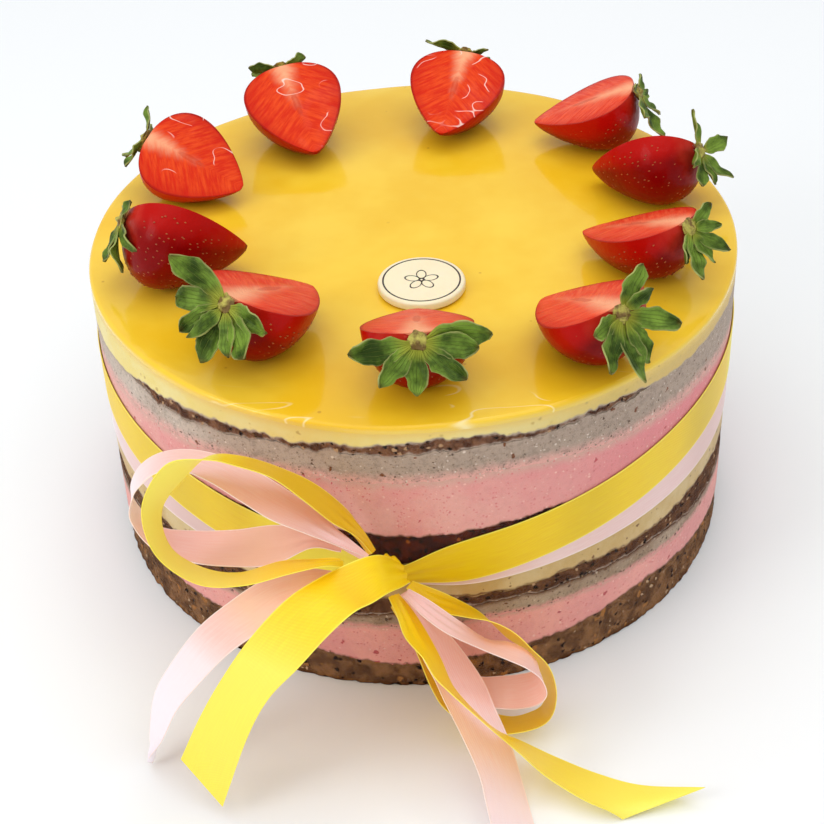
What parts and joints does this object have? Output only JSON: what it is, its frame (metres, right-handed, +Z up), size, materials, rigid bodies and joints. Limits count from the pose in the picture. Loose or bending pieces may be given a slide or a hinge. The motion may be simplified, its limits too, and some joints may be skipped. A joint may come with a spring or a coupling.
{
  "type": "strawberry layer cake",
  "caption": "Round layer cake in a clear film, glazed on top with strawberry halves and a small chocolate disc, and tied round with satin ribbons in a bow.",
  "frame": {"origin": "middle of the cake's round underside, on the surface that it stands on", "axes": "+Z up, -Y to the front where the bow is, +X to the right seen from the front"},
  "size_m": [0.2048, 0.2669, 0.1349],
  "materials": {
    "glaze": "glossy",
    "cream": "satin",
    "speckled_mousse": "matt",
    "pink_mousse": "matt",
    "sponge_thin": "matt",
    "sponge_dark": "matt",
    "sponge_brown": "matt",
    "sponge_base": "matt",
    "film": "clear",
    "chocolate": "satin",
    "berry": "glossy",
    "leaf": "satin",
    "satin_yellow": "satin",
    "satin_pink": "satin"
  },
  "bodies": {
    "root": {"base_sponge": "sponge_base", "pink_mousse_lower": "pink_mousse", "speckled_mousse_lower": "speckled_mousse", "brown_sponge": "sponge_brown", "cream_lower": "cream", "dark_sponge": "sponge_dark", "pink_mousse_upper": "pink_mousse", "speckled_mousse_upper": "speckled_mousse", "cream_upper": "cream", "thin_sponge": "sponge_thin", "glaze": "glaze", "clear_film": "film", "band_pink": "satin_pink", "band_yellow": "satin_yellow", "loop_yellow_left": "satin_yellow", "loop_pink_left": "satin_pink", "tail_pink_left": "satin_pink", "tail_yellow_left": "satin_yellow", "loop_yellow_right": "satin_yellow", "loop_pink_right": "satin_pink", "tail_pink_right": "satin_pink", "tail_yellow_right": "satin_yellow", "knot": "satin_yellow", "plaque": "chocolate", "berry_01": "berry", "leaves_01": "leaf", "berry_02": "berry", "leaves_02": "leaf", "berry_03": "berry", "leaves_03": "leaf", "berry_04": "berry", "leaves_04": "leaf", "berry_05": "berry", "leaves_05": "leaf", "berry_06": "berry", "leaves_06": "leaf", "berry_07": "berry", "leaves_07": "leaf", "berry_08": "berry", "leaves_08": "leaf", "berry_09": "berry", "leaves_09": "leaf", "berry_10": "berry", "leaves_10": "leaf"}
  },
  "joints": []
}
